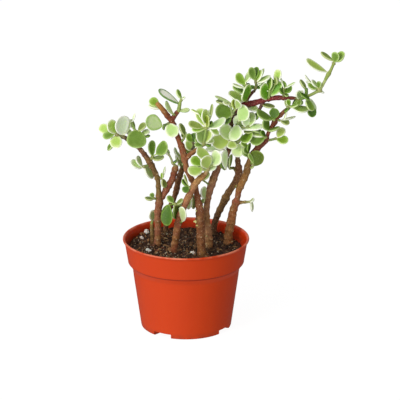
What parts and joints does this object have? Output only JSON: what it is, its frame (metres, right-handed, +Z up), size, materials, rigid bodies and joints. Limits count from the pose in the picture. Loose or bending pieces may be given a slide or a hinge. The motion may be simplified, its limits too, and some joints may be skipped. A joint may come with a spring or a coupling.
{
  "type": "potted elephant bush",
  "caption": "Variegated elephant bush with woody stems and round fleshy leaves, rooted in potting mix in a tapered plastic nursery pot with a rolled rim.",
  "frame": {"origin": "centre of the pot's flat foot, on the surface that it stands on", "axes": "+Z up along the pot's axis; +X to the right and -Y towards the viewer in the source picture, so the long shoot leans to +X"},
  "size_m": [0.2044, 0.108, 0.242],
  "materials": {
    "pot": "satin injection-moulded polypropylene, orange-red",
    "soil": "loose, matte, dark brown potting mix",
    "perlite": "matte, porous, off-white grains",
    "bark": "matte brown bark with pale lenticels and ringed nodes",
    "bark_dark": "matte dark olive-brown bark",
    "leaf": "smooth, slightly waxy, green with cream margins",
    "leaf_pale": "smooth, slightly waxy, pale green with cream margins",
    "leaf_dark": "smooth, slightly waxy, deep green"
  },
  "bodies": {
    "root": {"pot": "pot", "soil": "soil", "perlite_1": "perlite", "perlite_2": "perlite", "perlite_3": "perlite", "perlite_4": "perlite", "stem_back_left": "bark_dark", "stem_back_right": "bark_dark", "stem_centre": "bark", "stem_centre_left": "bark", "stem_left": "bark", "stem_left_thin": "bark_dark", "stem_main": "bark", "stem_right": "bark", "leaf_low_pale": "leaf_pale", "leaf_main_fork": "leaf", "shoot_back_left": "leaf", "shoot_back_right": "leaf", "shoot_between": "leaf", "shoot_centre_low": "leaf_dark", "shoot_centre_thin": "leaf_dark", "shoot_centre_top": "leaf_pale", "shoot_crest_fan": "leaf", "shoot_crest_left": "leaf", "shoot_crest_right": "leaf", "shoot_crest_round": "leaf_pale", "shoot_crossing": "leaf", "shoot_cut_end": "leaf", "shoot_end_left": "leaf", "shoot_end_node": "leaf_dark", "shoot_far_left": "leaf_pale", "shoot_front": "leaf_pale", "shoot_hanging": "leaf", "shoot_heart": "leaf_pale", "shoot_heart_top": "leaf_pale", "shoot_left_base": "leaf", "shoot_left_big": "leaf", "shoot_left_dark": "leaf_dark", "shoot_left_lower": "leaf", "shoot_left_tiny": "leaf", "shoot_left_upper": "leaf_dark", "shoot_long_low": "leaf", "shoot_long_tip": "leaf", "shoot_low": "leaf_dark", "shoot_main_left": "leaf_pale", "shoot_main_right": "leaf", "shoot_main_top": "leaf", "shoot_right_inner": "leaf", "shoot_right_low": "leaf", "shoot_right_pair": "leaf", "shoot_right_round": "leaf_dark", "shoot_right_thin": "leaf", "shoot_right_three": "leaf_dark", "shoot_right_tip": "leaf", "shoot_right_upper": "leaf_dark", "shoot_right_withered": "leaf_pale", "shoot_rosette": "leaf", "shoot_second_tip": "leaf", "shoot_side": "leaf", "shoot_top_left": "leaf"}
  },
  "joints": []
}
